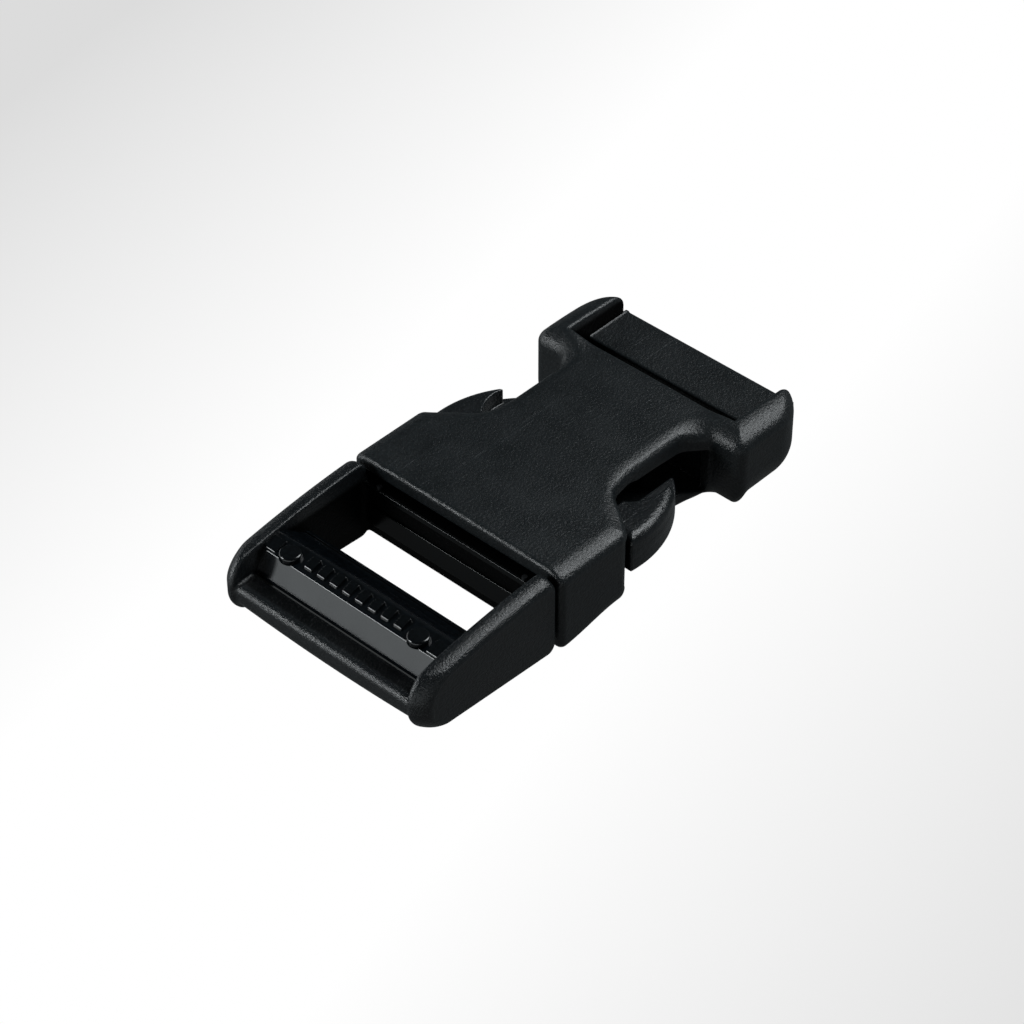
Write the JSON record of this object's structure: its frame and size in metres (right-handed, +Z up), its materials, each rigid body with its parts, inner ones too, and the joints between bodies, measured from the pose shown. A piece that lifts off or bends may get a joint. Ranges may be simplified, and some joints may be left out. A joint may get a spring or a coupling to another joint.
{
  "type": "side-release buckle",
  "caption": "Side-release strap buckle with two finger-pressed latch arms, a toothed ladder-lock strap adjuster on the plug and a fixed web bar on the socket.",
  "frame": {"origin": "centre of the closed buckle's footprint, on its underside", "axes": "+X along the buckle from the plug's tail to the socket's web bar, +Y towards the left latch arm, +Z up through the crowned top face"},
  "size_m": [0.0678, 0.033, 0.0119],
  "materials": {
    "socket_plastic": "black moulded plastic, fine spark-eroded grain",
    "plug_plastic": "black moulded plastic, coarse grain on the rails, satin elsewhere",
    "gloss_plastic": "black moulded plastic, polished",
    "arm_plastic": "black moulded plastic, satin"
  },
  "bodies": {
    "socket": {"top_plate": "socket_plastic", "bottom_plate": "socket_plastic", "left_cheek": "socket_plastic", "right_cheek": "socket_plastic", "left_ear": "socket_plastic", "right_ear": "socket_plastic", "rear_wall": "socket_plastic", "web_bar": "socket_plastic", "guide_ribs": "socket_plastic"},
    "plug": {"left_rail": "plug_plastic", "right_rail": "plug_plastic", "head_bar": "plug_plastic", "head_bar_pips": "plug_plastic", "tooth_bar": "gloss_plastic", "teeth": "gloss_plastic", "end_bosses": "gloss_plastic", "lip_bar": "plug_plastic", "center_guide": "plug_plastic"},
    "left_arm": {"left_arm_beam": "arm_plastic", "left_arm_pad": "arm_plastic"},
    "right_arm": {"right_arm_beam": "arm_plastic", "right_arm_pad": "arm_plastic"}
  },
  "joints": [
    {"name": "plug_slide", "type": "slide", "parent": "socket", "child": "plug", "axis": [-1, 0, 0], "range_m": [0, 0.03], "deforming": ["left_arm_beam", "left_arm_pad", "right_arm_beam", "right_arm_pad"]},
    {"name": "left_arm_press", "type": "hinge", "parent": "plug", "child": "left_arm", "pos_m": [-0.0086, 0.012, 0.006], "axis": [0, 0, -1], "range_deg": [0, 9], "stiffness_Nm_per_rad": 0.2},
    {"name": "right_arm_press", "type": "hinge", "parent": "plug", "child": "right_arm", "pos_m": [-0.0086, -0.012, 0.006], "axis": [0, 0, 1], "range_deg": [0, 9], "stiffness_Nm_per_rad": 0.2}
  ]
}
